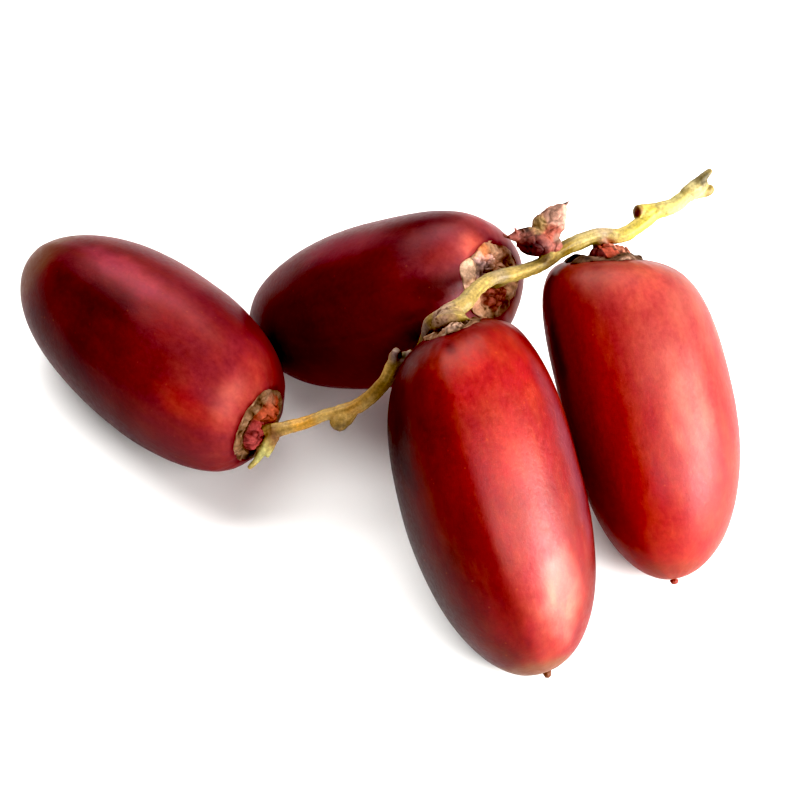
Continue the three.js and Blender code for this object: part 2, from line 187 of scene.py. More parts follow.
dates = {
    "left": dict(
        length=54, thick=29.2, heading=-42.4, raised=0, at=(-43, 1.7), widest=0.25, bow=(0.4, 0.2),
        tipPower=2.4, tipRoot=0.53, tipSlant=0.08, point=0.4, ridge=(90, 0.3), ridgeLine=0.2,
        capPower=1.58, capRoot=0.26, capSlant=(-0.14, -0.04), rim=6.4,
        sepalTurn=95, sepalHeight=0.5, sepalLaps=[(70, 25, 0.3)],
        lobes=[(48, 2.8, 2.6, 2.7), (195, 1.3, 2.3, 2.8), (285, 3, 0.9, 2.2)],
        lobeTones=["#A85C44", "#A35250", "#96715E"], cork=("#8A6A50", "#48301F", "#B89A82"), moat="#24120C",
        capPatchesAndPaintedLight=[(234, 4.8, 1.6, "#0E0604", 0.9), (60, 5.5, 1.1, "#B0927A", 0.4)],
        deep="#14080A", bright="#BF5558", blushAndShade=(-1.61, 0.57, 0.42, 0.7, 0.75), tipPatch=(94, 0.75, 0.27),
        haze=0.015, shine=0.22, seed=1,
        # painted highlights: the pink band along the ridge and the pale red band by the cap; painted shade:
        # the near-black band under the ridge
        tintsAndPaintedLight=[
            (-0.15, 87, 12, 3.2, "#B85868", 0.3), (-0.22, 113, 13, 3.2, "#1C0206", 0.33),
            (0.3, 99, 6, 3.6, "#6A1420", 0.4), (0.93, 106, 3.2, 11, "#C4645A", 0.42),
            (0.45, 52, 9, 7, "#501420", 0.5), (0.72, 140, 7, 4, "#B03A28", 0.25),
            (0.9, 72, 3.2, 3.5, "#D85A50", 0.2),
        ],
    ),
    "back": dict(
        length=54.7, thick=27.7, heading=-22.2, raised=37, at=(-4.7, 6), widest=0.22, bow=(-0.4, 0),
        tipPower=2.18, tipRoot=0.61, tipSlant=0.02, point=0.4, ridge=(84, 0.3), ridgeLine=0.1,
        capPower=4.04, capRoot=0.46, capSlant=(0.3, 0.11), rim=5.9, crease=157,
        sepalTurn=150, sepalHeight=0.6, sepalLaps=[(115, 14, 1.1), (60, 20, 0.4)],
        lobes=[(86, 3, 1.2, 2.3), (245, 2.5, 1.4, 2.5), (340, 2.6, 1, 2)],
        lobeTones=["#B6948D", "#8C4E40", "#855D45"], cork=("#A88468", "#5A3A24", "#D0AE98"), moat="#7A5440",
        capPatchesAndPaintedLight=[
            (36, 2.7, 1.9, "#E0B49C", 0.75), (118, 5.0, 1.5, "#E4C4AC", 0.5), (74, 4.9, 1.4, "#B06838", 0.55),
            (184, 4.3, 1.6, "#C09078", 0.4), (260, 4.9, 1.7, "#4A1C18", 0.6), (15, 5, 1.9, "#5A2A1C", 0.6),
        ],
        deep="#460A0A", bright="#A35C60", blushAndShade=(-1.02, 0.47, 0.41, -0.93, 0.97), tipPatch=(200, 0.3, 0.15),
        haze=0.015, shine=0.22, seed=2,
        # painted reflection: the pink haze on top; painted highlight: the pale red band by the cap; painted
        # shade: the near-black patch under the strand
        tintsAndPaintedLight=[
            (0.15, 94, 11, 3.4, "#A84A60", 0.2), (0.7, 68, 9, 6, "#400C14", 0.65),
            (0.99, 86, 1.5, 7, "#C4644C", 0.33), (0.86, 140, 4, 4, "#2A0408", 0.6),
            (0.95, -75, 3.5, 8, "#8C4434", 0.6), (0.87, 104, 3.5, 4, "#5A1418", 0.3),
        ],
    ),
    "front": dict(
        length=57.1, thick=29.2, heading=110.9, raised=42, at=(15.8, -37.2), widest=0.03, bow=(1.2, 0),
        tipPower=2.07, tipRoot=0.45, tipSlant=-0.1, point=1.3, ridge=(66, 0.35), ridgeLine=0.3,
        capPower=2.69, capRoot=0.37, capSlant=(-0.1, 0.01), rim=4.8,
        sepalTurn=35, sepalHeight=0.45, sepalLaps=[], capPatchesAndPaintedLight=[],
        lobes=[(75, 2.2, 1.3, 2), (160, 2, 1.2, 1.8), (285, 2, 1, 1.8)],
        lobeTones=["#A98C7A", "#A08070", "#A0705C"], cork=("#80604A", "#40281C", "#AA927C"), moat="#24120C",
        deep="#16070A", bright="#C8453F", blushAndShade=(-2.75, 0.03, -0.21, 2.13, 0.87), tipPatch=(40, 0.8, 0.09),
        haze=0, shine=0.36, seed=3,
        # painted highlight: the salmon patch low on the right; painted reflection: the greyish pink strip
        # along the right edge; painted shade: the near-black band on the left flank
        tintsAndPaintedLight=[
            (-0.56, 103, 8, 5.8, "#D07C6C", 0.42), (-0.62, 62, 8, 3, "#5A0408", 0.5),
            (0.91, 68, 1.3, 1.8, "#40080C", 0.6), (0.84, 84, 3, 2.6, "#C84A3C", 0.12),
            (0.2, 143, 18, 3.2, "#623840", 0.75), (-0.86, 43, 4, 5, "#4A2018", 0.4),
            (0.45, 16, 9, 3.2, "#100204", 0.5),
        ],
    ),
    "right": dict(
        length=53.4, thick=27.8, heading=105.7, raised=37, at=(38.9, -19.1), widest=0.08, bow=(-1.8, 0.1),
        tipPower=2.25, tipRoot=0.5, tipSlant=0.09, point=0.9, ridge=(50, 0.3), ridgeLine=0.08,
        capPower=3.29, capRoot=0.25, capSlant=(0.2, -0.08), rim=6.2,
        sepalTurn=20, sepalHeight=0.9, sepalLaps=[(33, 20, 1.5), (200, 20, 0.3)],
        lobes=[(70, 2.6, 2.6, 2.1), (105, 2.9, 3, 1.9), (142, 2.8, 2.7, 2), (270, 2.6, 1.2, 2.1)],
        lobeTones=["#4A1C1A", "#8C4636", "#9A6250", "#7C6358"], cork=("#5E4434", "#30201A", "#8A7060"),
        moat="#24120C", capPatchesAndPaintedLight=[(24, 5.6, 2, "#2A1810", 0.5)],
        deep="#7C0A0C", bright="#84504A", blushAndShade=(-0.13, 0.77, -1.34, -0.42, 0.07), tipPatch=(64, 0.3, 0.1),
        haze=0, shine=0.26, seed=4,
        # painted highlight: the pale salmon patch; painted shade: the near-black band on the left flank and
        # the darker red that holds back the lamps' glare on the lit flank
        tintsAndPaintedLight=[
            (-0.1, 152, 20, 7, "#8C2424", 0.55), (0.83, 103, 5, 9, "#A45044", 0.4),
            (0.02, 112, 9, 4.5, "#D09080", 0.18), (0.5, 17, 8, 2.8, "#100204", 0.5),
        ],
    ),
}
settle = 0.25  # depth of the small flat spot that each date rests on
basin = dict(steps=[(0.3, 0.2), (0.45, 0.7), (0.9, 1.2)], depth=1.4)  # each step inward from the rim and down
pointSteps = [(0.5, 0.8), (0.75, 0.2)]  # radius of the point at the tip, and the part of its length there
ridgeFade = (0.2, 0.1)  # how far from the tip and from the rim the ridges reach full height
ridgeTwist = 0.1  # radians that they turn from the middle to an end
cadSkin = dict(sides=30, stations=20)
fineSkin = dict(sides=160, stations=170)
skinRelief = dict(
    bodyStart=(-1.02, -0.8), bodyEnd=(0.9, 1.0),
    lumpSize=13, lumpHeight=0.16,  # broad unevenness of the flesh
    rippleSize=3.2, rippleHeight=0.025, rippleAlong=0.5,
    ridgeWidth=2.3,  # of the sharper middle of each ridge
    puckers=0.12, puckerSize=1.6, puckerAlong=0.25, puckerAround=5,  # folds where the skin turns in
    nearCap=(0.72, 0.93), nearTip=(-0.97, -0.85), tipShare=0.4,
    creaseDepth=0.22, creaseWidth=0.5, creaseStart=(-0.35, -0.05), creaseEnd=(0.62, 0.85),
    sway=0.05, swayRate=3.5, swayStart=1,  # how the crease wanders, in radians
    lipAway=1.3, lipWidth=0.8, lipShare=0.5,  # the raised lip beside it
)


def skinRadius(u, date):  # u is a place along the date
    widest = date["widest"]
    towardTip = np.clip((widest - u) / (1 + widest), 0, 1)
    towardCap = np.clip((u - widest) / (1 - widest), 0, 1)
    tip = (1 - towardTip ** date["tipPower"]) ** date["tipRoot"]
    shoulder = (1 - towardCap ** date["capPower"]) ** date["capRoot"]
    return np.where(u < widest, tip, shoulder) * date["thick"] / 2


def shoulderPlace(radius, date):  # where the shoulder has drawn in to a radius
    left = 1 - (2 * radius / date["thick"]) ** (1 / date["capRoot"])
    return date["widest"] + (1 - date["widest"]) * left ** (1 / date["capPower"])


def rimPlace(date):  # and to the rim of the basin
    return shoulderPlace(date["rim"], date)


def axisPlace(u, date, beyond=0):  # a point of the bowed axis, or a little beyond it along x
    sag = 1 - u * u
    return np.array([u * date["length"] / 2 + beyond, *(bow * sag for bow in date["bow"])])


def alongAndAround(points, date):
    return points[:, 0] * 2 / date["length"], np.arctan2(points[:, 2], points[:, 1])


def dateRing(u, radius, height, date, angles):
    turn, ridgeHeight = date["ridge"]  # three blunt sides meet in three ridges along the date
    ridgePart = np.clip((1 + u) / ridgeFade[0], 0, 1) * np.clip((rimPlace(date) - u) / ridgeFade[1], 0, 1)
    swell = ridgeHeight * ridgePart * np.cos(3 * (angles - math.radians(turn) + ridgeTwist * u))
    y = (radius + swell) * np.cos(angles)
    z = (radius + swell) * np.sin(angles)
    capPart = max(u, 0) ** 4
    tipPart = max(-u, 0) ** 2
    slantY, slantZ = date["capSlant"]
    slope = capPart * (slantY * y + slantZ * z) + tipPart * date["tipSlant"] * y
    return np.stack([slope, y, z], axis=1) + axisPlace(u, date, height)


def dateSkin(date, sides, stations):
    angles = evenAngles(sides)
    rim = rimPlace(date)
    rings = [dateRing(-1, radius, -date["point"] * part, date, angles) for radius, part in pointSteps]
    for station in range(1, stations + 1):
        u = -1 + (rim + 1) * (1 - math.cos(station / stations * math.pi)) / 2
        rings.append(dateRing(u, skinRadius(u, date), 0, date, angles))
    for inward, down in basin["steps"]:
        rings.append(dateRing(rim, date["rim"] - inward, -down, date, angles))
    tip = (-date["length"] / 2 - date["point"], 0, 0)
    return skinOver(tip, rings, axisPlace(rim, date, -basin["depth"]))


def turnOf(date):  # from a date's own axes to the table's
    heading, raised = math.radians(date["heading"]), math.radians(date["raised"])
    return np.array(Matrix.Rotation(heading, 3, "Z") @ Matrix.Rotation(-raised, 3, "Y"))


def placeOf(date):  # where its own origin goes, before the whole bunch is centred
    points = dateSkin(date, **cadSkin)[0]
    lowest = (points @ turnOf(date).T)[:, 2].min()
    return np.array([*date["at"], -lowest - settle])


# The bunch is laid out round its own point. The left date's box in the frame tells where that point went.
leftDate = dates["left"]
leftPoints = dateSkin(leftDate, **cadSkin)[0] @ turnOf(leftDate).T + placeOf(leftDate)
shift = np.array(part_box("date_left")[1]) / mm - leftPoints.max(axis=0)
shift[2] = 0
print("bunch moved by", np.round(shift, 3), "mm")


def toTable(points, date):
    return np.asarray(points) @ turnOf(date).T + placeOf(date) + shift


def reliefOf(points, date):
    look, seed = skinRelief, date["seed"] * 10
    u, angle = alongAndAround(points, date)
    body = ramp(*look["bodyStart"], u) * (1 - ramp(*look["bodyEnd"], u))
    height = look["lumpHeight"] * noiseAt(points, look["lumpSize"], seed) * body
    stretched = points * (look["rippleAlong"], 1, 1)
    height += look["rippleHeight"] * noiseAt(stretched, look["rippleSize"], seed + 2)
    turn = math.radians(date["ridge"][0]) - ridgeTwist * u
    fromRidge = np.abs(apart(angle, turn, 2 * math.pi / 3)) * date["thick"] / 2
    height += date["ridgeLine"] * bell(fromRidge, look["ridgeWidth"]) * body
    along, around, size = points[:, 0] * look["puckerAlong"], look["puckerAround"], look["puckerSize"]
    folded = np.stack([along, np.cos(angle) * around, np.sin(angle) * around], axis=1)
    height += look["puckers"] * crumpleAt(folded, size, seed + 4) * ramp(*look["nearCap"], u)
    nearTip = 1 - ramp(*look["nearTip"], u)
    height += look["tipShare"] * look["puckers"] * crumpleAt(folded, size, seed + 6) * nearTip
    if "crease" in date:
        sway = look["sway"] * np.sin(look["swayRate"] * u + look["swayStart"])
        line = math.radians(date["crease"]) + sway
        away = np.abs(apart(angle, line)) * date["thick"] / 2
        along = ramp(*look["creaseStart"], u) * (1 - ramp(*look["creaseEnd"], u))
        height -= look["creaseDepth"] * bell(away, look["creaseWidth"]) * along
        lip = bell(away - look["lipAway"], look["lipWidth"])
        height += look["lipShare"] * look["creaseDepth"] * lip * along
    return height


# Waxy fruit skin, firm and polished: broad soft highlights, cloudy red under the wax, a few orange specks.
waxySkin = dict(
    shader={
        "IOR": 1.4, "Sheen Roughness": 0.5,
        "Subsurface Weight": 0.08, "Subsurface Radius": (1, 0.3, 0.2), "Subsurface Scale": 0.8 * mm,
    },
    cloudSize=11, cloudShare=1.6, streakSize=(7, 2.6), mottleSize=0.9,
    value={"From Min": 0.6, "From Max": 1.4, "To Min": 0.81, "To Max": 1.19},
    hue={"From Min": 0.36, "From Max": 0.66, "To Min": 0.496, "To Max": 0.506},
    roughness={"From Min": 0.3, "From Max": 0.7, "To Min": 0.35, "To Max": 0.47},
    speckSize=1.5, speckEdge={"From Min": 0.05, "From Max": 0.16, "To Min": 0.07, "To Max": 0.0},
    speckChosen={"From Min": 0.55, "From Max": 0.75},
    dimpleSize=0.5, dimpleShare=0.35, bump={"Strength": 0.25, "Distance": 0.12 * mm},
    speck="#E08A3C", tipTone="#66442F", rimTone="#5A1A22", haze="#F0A0B4",
)


def skinMaterial(name, date):
    look = waxySkin
    material, tree, shader = newMaterial("waxyDateSkin_" + name)
    place = addNode(tree, "Attribute", {"attribute_name": "skinPlace"}).outputs["Vector"]
    # blush, from deep to bright, by the place on the date and soft clouds: partly real blush, partly painted
    # light on the side facing the lamps and painted shade on the side away
    level, along, across, upward, ends = date["blushAndShade"]
    slope = (along * 2 / date["length"], across * 2 / date["thick"], upward * 2 / date["thick"])
    litSideSlope = addNode(tree, "VectorMath", {"operation": "DOT_PRODUCT", 0: place, 1: slope}).outputs["Value"]
    parts = addNode(tree, "SeparateXYZ", {0: place})
    squared = addNode(tree, "Math", {"operation": "MULTIPLY", 0: parts, 1: parts})
    share = ends * 4 / date["length"] ** 2
    endSum = addNode(tree, "Math", {"operation": "MULTIPLY_ADD", 0: squared, 1: share, 2: litSideSlope})
    cloud = addNode(tree, "TexNoise", {"Vector": place, "Scale": 1 / look["cloudSize"], "Detail": 3})
    share = look["cloudShare"]
    blushAndShadeSum = addNode(tree, "Math", {"operation": "MULTIPLY_ADD", 0: cloud, 1: share, 2: endSum})
    away = addNode(tree, "Math", {"operation": "SUBTRACT", 0: share / 2 - level, 1: blushAndShadeSum})
    falling = addNode(tree, "Math", {"operation": "EXPONENT", 0: away})
    whole = addNode(tree, "Math", {"operation": "ADD", 0: falling, 1: 1})
    blushAndShade = addNode(tree, "Math", {"operation": "DIVIDE", 0: 1, 1: whole})
    deep, bright = paint(date["deep"]), paint(date["bright"])
    base = addNode(tree, "Mix", {"data_type": "RGBA", 0: blushAndShade, 6: deep, 7: bright}).outputs[2]
    # soft patches of another red, and painted highlights, painted reflection and painted shade
    endTone = addNode(tree, "Attribute", {"attribute_name": "endTone"}).outputs["Vector"]
    tipShare, rimShare, tintAndLightShare = addNode(tree, "SeparateXYZ", {0: endTone}).outputs
    tintAndLight = addNode(tree, "Attribute", {"attribute_name": "tintAndLightTone"})
    tintedAndLit = addNode(tree, "Mix", {"data_type": "RGBA", 0: tintAndLightShare, 6: base, 7: tintAndLight}).outputs[2]
    # streaks along the date, and a fine mottle
    streakLong, streakWide = look["streakSize"]
    stretch = (1 / streakLong, 1 / streakWide, 1 / streakWide)
    stretched = addNode(tree, "VectorMath", {"operation": "MULTIPLY", 0: place, 1: stretch})
    streaks = addNode(tree, "TexNoise", {"Vector": stretched, "Scale": 1, "Detail": 4, "Roughness": 0.6})
    scale = 1 / look["mottleSize"]
    mottle = addNode(tree, "TexNoise", {"Vector": place, "Scale": scale, "Detail": 3, "Roughness": 0.65})
    tone = addNode(tree, "Math", {"operation": "ADD", 0: streaks, 1: mottle})
    value = addNode(tree, "MapRange", {"Value": tone, **look["value"]})
    hue = addNode(tree, "MapRange", {"Value": streaks, **look["hue"]})
    skin = addNode(tree, "HueSaturation", {"Color": tintedAndLit, "Value": value, "Hue": hue}).outputs[0]
    # orange specks, few and uneven
    cells = addNode(tree, "TexVoronoi", {"Vector": place, "Scale": 1 / look["speckSize"]})
    dot = addNode(tree, "MapRange", {"Value": cells, **look["speckEdge"]})
    chosen = addNode(tree, "MapRange", {"Value": cells.outputs["Color"], **look["speckChosen"]})
    specks = addNode(tree, "Math", {"operation": "MULTIPLY", 0: dot, 1: chosen})
    for share, code in ((specks, look["speck"]), (tipShare, look["tipTone"]), (rimShare, look["rimTone"])):
        skin = addNode(tree, "Mix", {"data_type": "RGBA", 0: share, 6: skin, 7: paint(code)}).outputs[2]
    rough = addNode(tree, "MapRange", {"Value": mottle, **look["roughness"]})
    dimples = addNode(tree, "TexNoise", {"Vector": place, "Scale": 1 / look["dimpleSize"], "Detail": 2})
    share = look["dimpleShare"]
    relief = addNode(tree, "Math", {"operation": "MULTIPLY_ADD", 0: dimples, 1: share, 2: tone})
    bump = addNode(tree, "Bump", {"Height": relief, **look["bump"]})
    setNode(tree, shader, {
        **look["shader"], "Specular IOR Level": date["shine"], "Sheen Weight": date["haze"],
        "Sheen Tint": paint(look["haze"]), "Base Color": skin, "Roughness": rough, "Normal": bump,
    })
    return material


skinPatches = dict(  # how each kind fades at its edge, and the size and depth of the raggedness there
    tipEdge=0.3, tipLean=0.6, tipRagged=0.3, tipGrain=3.5,
    rimReach=(1.1, 0.1), rimShare=0.7, rimRagged=0.5, rimGrain=1.5,
    tintEdge=(0.25, 1.25), tintRagged=0.25, tintGrain=4,
)
leastShare = 1e-6  # keeps a division safe


def tipPatchOf(points, date):  # a dull brownish patch beside the tip
    look = skinPatches
    u, angle = alongAndAround(points, date)
    turn, share, reach = date["tipPatch"]
    lean = look["tipLean"] * reach * np.cos(angle - math.radians(turn))
    ragged = look["tipRagged"] * reach * crumpleAt(points, look["tipGrain"], date["seed"] + 50)
    return share * (1 - ramp(look["tipEdge"] * reach, reach, 1 + u - lean + ragged))


def rimEdgeOf(points, date):  # a darker edge where the skin rolls in to the basin
    look = skinPatches
    u = alongAndAround(points, date)[0]
    out = np.hypot(*(points.T - axisPlace(u, date))[1:])
    ragged = look["rimRagged"] * noiseAt(points, look["rimGrain"], date["seed"] + 60)
    return look["rimShare"] * (ramp(*look["rimReach"], out - date["rim"] + ragged) * (u > 0.5))


def tintsAndLightOf(points, date):  # soft patches of another red, painted highlights, painted reflection and painted shade: the tone and its share
    look = skinPatches
    u, angle = alongAndAround(points, date)
    ragged = look["tintRagged"] * crumpleAt(points, look["tintGrain"], date["seed"] + 70)
    tone, total = np.zeros((len(points), 3)), np.zeros(len(points))
    for place, turn, reachAlong, reachAround, code, share in date["tintsAndPaintedLight"]:
        along = (u - place) * date["length"] / 2 / reachAlong
        around = apart(angle, math.radians(turn)) * date["thick"] / 2 / reachAround
        own = share * (1 - ramp(*look["tintEdge"], np.hypot(along, around) + ragged))
        under = total * (1 - own)
        total = under + own
        tone = tone * under[:, None] + np.outer(own, linearOf(code))
        tone /= np.maximum(total, leastShare)[:, None]
    return tone, total


def makeDate(name, date):
    points, faces = dateSkin(date, **fineSkin)
    piece = meshOf("dateSkin_" + name, points, faces)
    formed = points + vertexValues(piece, "normal") * reliefOf(points, date)[:, None]
    placed = toTable(formed, date)
    placed[:, 2] = np.maximum(placed[:, 2], 0)  # the flat spot it rests on
    movePoints(piece, placed)
    tintAndLightTone, tintAndLightShare = tintsAndLightOf(points, date)
    storeVectors(piece, "skinPlace", points)
    storeColors(piece, "tintAndLightTone", tintAndLightTone)
    shares = [tipPatchOf(points, date), rimEdgeOf(points, date), tintAndLightShare]
    storeVectors(piece, "endTone", np.stack(shares, axis=1))
    piece.data.materials.append(skinMaterial(name, date))
    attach(piece, "root")
    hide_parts("date_" + name)


for name, date in dates.items():
    makeDate(name, date)
print("dates made")


# The caps: three woody sepals fused in a ring, with the stubs of three or four lobes inside it.
cap = dict(
    inset=0.5, floor=1.05, edgeDrop=0.3, middle=0.35, middleWidth=0.4, moat=0.35,
    footPart=0.8, footRise=0.15, edgeInset=0.1,
    crestAt=0.84, crestWidth=0.14, crestWave=0.05, crestSwell=0.4, edgePower=8,
    sectors=180, rings=64, lastPart=0.03,
)
capLook = dict(
    warp=0.55, warpSize=1.8,  # how far its outlines wander
    crackSize=0.9, crackDepth=0.14, lumpSize=2.2, lumpDepth=0.25, calmEdge=(1.0, 0.93), calmShare=0.35,
    foldSize=1.5, foldWidth=0.3, foldDepth=0.38, foldOffLobe=0.25, onLobe=(0.05, 0.8),  # creases of the lobes
    lap=0.2, lapSize=1.7, lapThick=0.14, lapThin=1.8,  # how far its ragged edge laps over the rim
    lapStart=(0.82, 1.0), lapEnd=(0.985, 1.0),
    blotchSize=1.3, speckSize=0.6, pale=(0.2, 0.9), dark=(0.0, 0.8), darkSpeck=0.4,
    middleTone="#8A5E48", middleEdge=(-0.05, 0.15), lobeEdge=(-0.05, 0.35), lobeBlotch=0.2, lobeSpeck=0.35,
    creaseShade=0.25, lobeShade=0.35, moatShadeShare=0.8, moatEdge=(0.05, 0.5), moatSpeck=0.15,
    patchEdge=(0.4, 1.2),
)


def spotOn(turn, away):  # a place on a cap's face
    return away * np.array([math.cos(math.radians(turn)), math.sin(math.radians(turn))])


def capParts(out, angle, date):  # crest, middle and lobes of the face, each a height over the moat's bottom
    part = out / (date["rim"] - cap["inset"])
    sepal = np.cos(3 * (angle - math.radians(date["sepalTurn"])))
    ridge = bell(part - cap["crestAt"] + cap["crestWave"] * sepal, cap["crestWidth"])
    crest = (date["sepalHeight"] * (1 + cap["crestSwell"] * sepal) + cap["moat"]) * ridge
    crest = np.maximum(crest, cap["moat"] * part ** cap["edgePower"])
    middle = (cap["middle"] + cap["moat"]) * bell(part, cap["middleWidth"])
    lobes = []
    for turn, away, height, reach in date["lobes"]:
        spotY, spotZ = spotOn(turn, away)
        y, z = out * np.cos(angle) - spotY, out * np.sin(angle) - spotZ
        near = np.clip(1 - (y * y + z * z) / (reach * reach), 0, 1)
        lobes.append((height + cap["moat"]) * np.sqrt(near))
    return crest, middle, lobes


def lapOver(points, axis, date, seed):  # spreads the edge outward, over the rim and down onto the shoulder
    look = capLook
    radius = date["rim"] - cap["inset"]
    flat = points[:, 1:] - axis[1:]
    out = np.maximum(np.hypot(*flat.T), 0.01)
    angle = np.degrees(np.arctan2(flat[:, 1], flat[:, 0]))
    lap = look["lap"] * (1 + crumpleAt(points, look["lapSize"], seed))
    for turn, wide, extra in date["sepalLaps"]:
        lap += extra * bell(apart(angle, turn, 360), wide)
    share = ramp(*look["lapStart"], out / radius)
    wider = out + share * (cap["inset"] + lap)
    past = rimPlace(date) - shoulderPlace(np.maximum(wider, date["rim"]), date)
    below = np.maximum(past, 0) * date["length"] / 2
    thick = look["lapThick"] * (1 - look["lapThin"] * ramp(*look["lapEnd"], out / radius))
    moved = points.copy()
    moved[:, 1:] = axis[1:] + flat * (wider / out)[:, None]
    moved[:, 0] += share * thick - below
    return moved


def makeCap(name, date):
    look, seed = capLook, date["seed"] * 10 + 5
    radius = date["rim"] - cap["inset"]
    rim = rimPlace(date)
    angles = evenAngles(cap["sectors"])
    rings = [
        dateRing(rim, radius * cap["footPart"], cap["footRise"] - cap["floor"], date, angles),
        dateRing(rim, radius - cap["edgeInset"], -cap["edgeDrop"], date, angles),
    ]
    faceStart = 1 + len(rings) * cap["sectors"]
    for part in np.linspace(1, cap["lastPart"], cap["rings"]):
        rings.append(dateRing(rim, radius * part, 0, date, angles))
    axis = axisPlace(rim, date)
    points, faces = skinOver(axis - (cap["floor"], 0, 0), rings, axis)
    face = np.arange(len(points)) >= faceStart
    flat = points[:, 1:] - axis[1:]
    warp = np.stack([crumpleAt(points, look["warpSize"], seed + i) for i in range(2)], axis=1)
    warped = flat + look["warp"] * warp
    out = np.hypot(*warped.T)
    crest, middle, lobes = capParts(out, np.arctan2(warped[:, 1], warped[:, 0]), date)
    lobe = np.max(lobes, axis=0)
    top = np.maximum(crest, np.maximum(middle, lobe))
    crease = 1 - ramp(0, look["foldWidth"], np.abs(crumpleAt(points, look["foldSize"], seed + 8)))
    onLobe = ramp(*look["onLobe"], lobe)
    roughness = look["lumpDepth"] * noiseAt(points, look["lumpSize"], seed + 2)
    roughness += look["crackDepth"] * crumpleAt(points, look["crackSize"], seed + 3)
    roughness -= look["foldDepth"] * crease * (look["foldOffLobe"] + (1 - look["foldOffLobe"]) * onLobe)
    edge = ramp(*look["calmEdge"], np.hypot(*flat.T) / radius)
    height = face * (top - cap["moat"] + roughness * (look["calmShare"] + (1 - look["calmShare"]) * edge))
    formed = points + height[:, None] * (1, 0, 0)
    formed[face] = lapOver(points, axis, date, seed + 9)[face] + height[face, None] * (1, 0, 0)
    piece = meshOf("woodyCap_" + name, toTable(formed, date), faces)

    blotch = crumpleAt(formed, look["blotchSize"], seed + 6)
    speck = crumpleAt(formed, look["speckSize"], seed + 7)
    cork, corkDark, corkPale = date["cork"]
    tone = mixColors(cork, corkPale, ramp(*look["pale"], -blotch))
    tone = mixColors(tone, corkDark, ramp(*look["dark"], blotch + look["darkSpeck"] * speck))
    tone = mixColors(tone, look["middleTone"], ramp(*look["middleEdge"], middle - crest))
    for own, code in zip(lobes, date["lobeTones"]):
        above = own - np.maximum(crest, middle) + look["lobeBlotch"] * blotch
        shade = np.array(linearOf(code)) * (1 + look["lobeSpeck"] * speck)[:, None]
        tone = mixColors(tone, shade, ramp(*look["lobeEdge"], above))
    tone = tone * (1 - crease * (look["creaseShade"] + look["lobeShade"] * onLobe))[:, None]
    # painted shade: the moat tone darkens the low hollow between the cap's crest and its middle
    moatShade = 1 - ramp(*look["moatEdge"], top + look["moatSpeck"] * speck)
    tone = mixColors(tone, date["moat"], look["moatShadeShare"] * moatShade * face * edge)
    # real cork tones, and painted shade and painted light in the cap's hollows
    for turn, away, reach, code, share in date["capPatchesAndPaintedLight"]:
        inner, outer = (part * reach for part in look["patchEdge"])
        near = 1 - ramp(inner, outer, np.linalg.norm(warped - spotOn(turn, away), axis=1))
        tone = mixColors(tone, code, share * near)
    dressIn(piece, tone, capMaterial)
    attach(piece, "root")
    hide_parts("cap_" + name)


# Dry woody tissue: dull, rough and finely cracked, in the tones that each piece stores.
dryTissue = dict(
    ior=1.45, spread=0.08, bumpStrength=0.6,
    value={"From Min": 0.3, "From Max": 0.7, "To Min": 0.7, "To Max": 1.3},
)


def dryMaterial(name, roughness, grainSize, grainDepth):
    look, scale = dryTissue, 1 / (grainSize * mm)
    material, tree, shader = newMaterial(name)
    tone = addNode(tree, "Attribute", {"attribute_name": "tone"})
    place = addNode(tree, "NewGeometry", {}).outputs["Position"]
    grain = addNode(tree, "TexNoise", {"Vector": place, "Scale": scale, "Detail": 4, "Roughness": 0.65})
    value = addNode(tree, "MapRange", {"Value": grain, **look["value"]})
    toned = addNode(tree, "HueSaturation", {"Color": tone, "Value": value})
    low, high = roughness - look["spread"], roughness + look["spread"]
    rough = addNode(tree, "MapRange", {"Value": grain, "To Min": low, "To Max": high})
    strength, depth = look["bumpStrength"], grainDepth * mm
    bump = addNode(tree, "Bump", {"Height": grain, "Strength": strength, "Distance": depth})
    setNode(tree, shader, {"IOR": look["ior"], "Base Color": toned, "Roughness": rough, "Normal": bump})
    return material


capMaterial = dryMaterial("corkyCapTissue", 0.75, 0.45, 0.12)
for name, date in dates.items():
    makeCap(name, date)
print("caps made")


# The strand and the short growths on it: x, y, z and thickness in mm, laid out like the dates.

strandRoute = [
    (-20.7, -18.3, 15.2, 2.6), (-18.7, -18.4, 16.1, 2.2), (-15.9, -18.4, 17.2, 2), (-12.4, -18.1, 19.1, 1.9),
    (-9.8, -18.4, 20.4, 2.4), (-7, -18.5, 22.1, 2.4), (-4.5, -18.2, 24.6, 2.3), (-2.3, -17, 27, 2.3),
    (-0.5, -15.2, 29.4, 2.6), (1.2, -15.1, 29.7, 2.1), (3, -14.1, 30.3, 2), (4.2, -13.2, 33, 2.1),
    (5, -13.5, 37, 2.5), (7.4, -15, 41.2, 3), (9.8, -13.8, 42, 2.8), (12.2, -9.8, 41.2, 2.4),
    (15.1, -6.4, 40, 2.2), (17.7, -4.9, 39, 2.5), (20.4, -3.8, 38.8, 2.3), (23.6, -2, 38.8, 2.2),
    (26, 0.2, 39.1, 2.3), (28.9, 2.2, 38.9, 2.6), (32.4, 3.8, 38.8, 2.4), (35.9, 4.2, 38.2, 2.5),
    (39.2, 6.3, 38.6, 2.5), (41.7, 8.6, 39, 2.8), (44.6, 9.5, 39.3, 2.6), (47.1, 11.3, 40.1, 2.4),
    (48.9, 12.5, 40.7, 2.5),
]
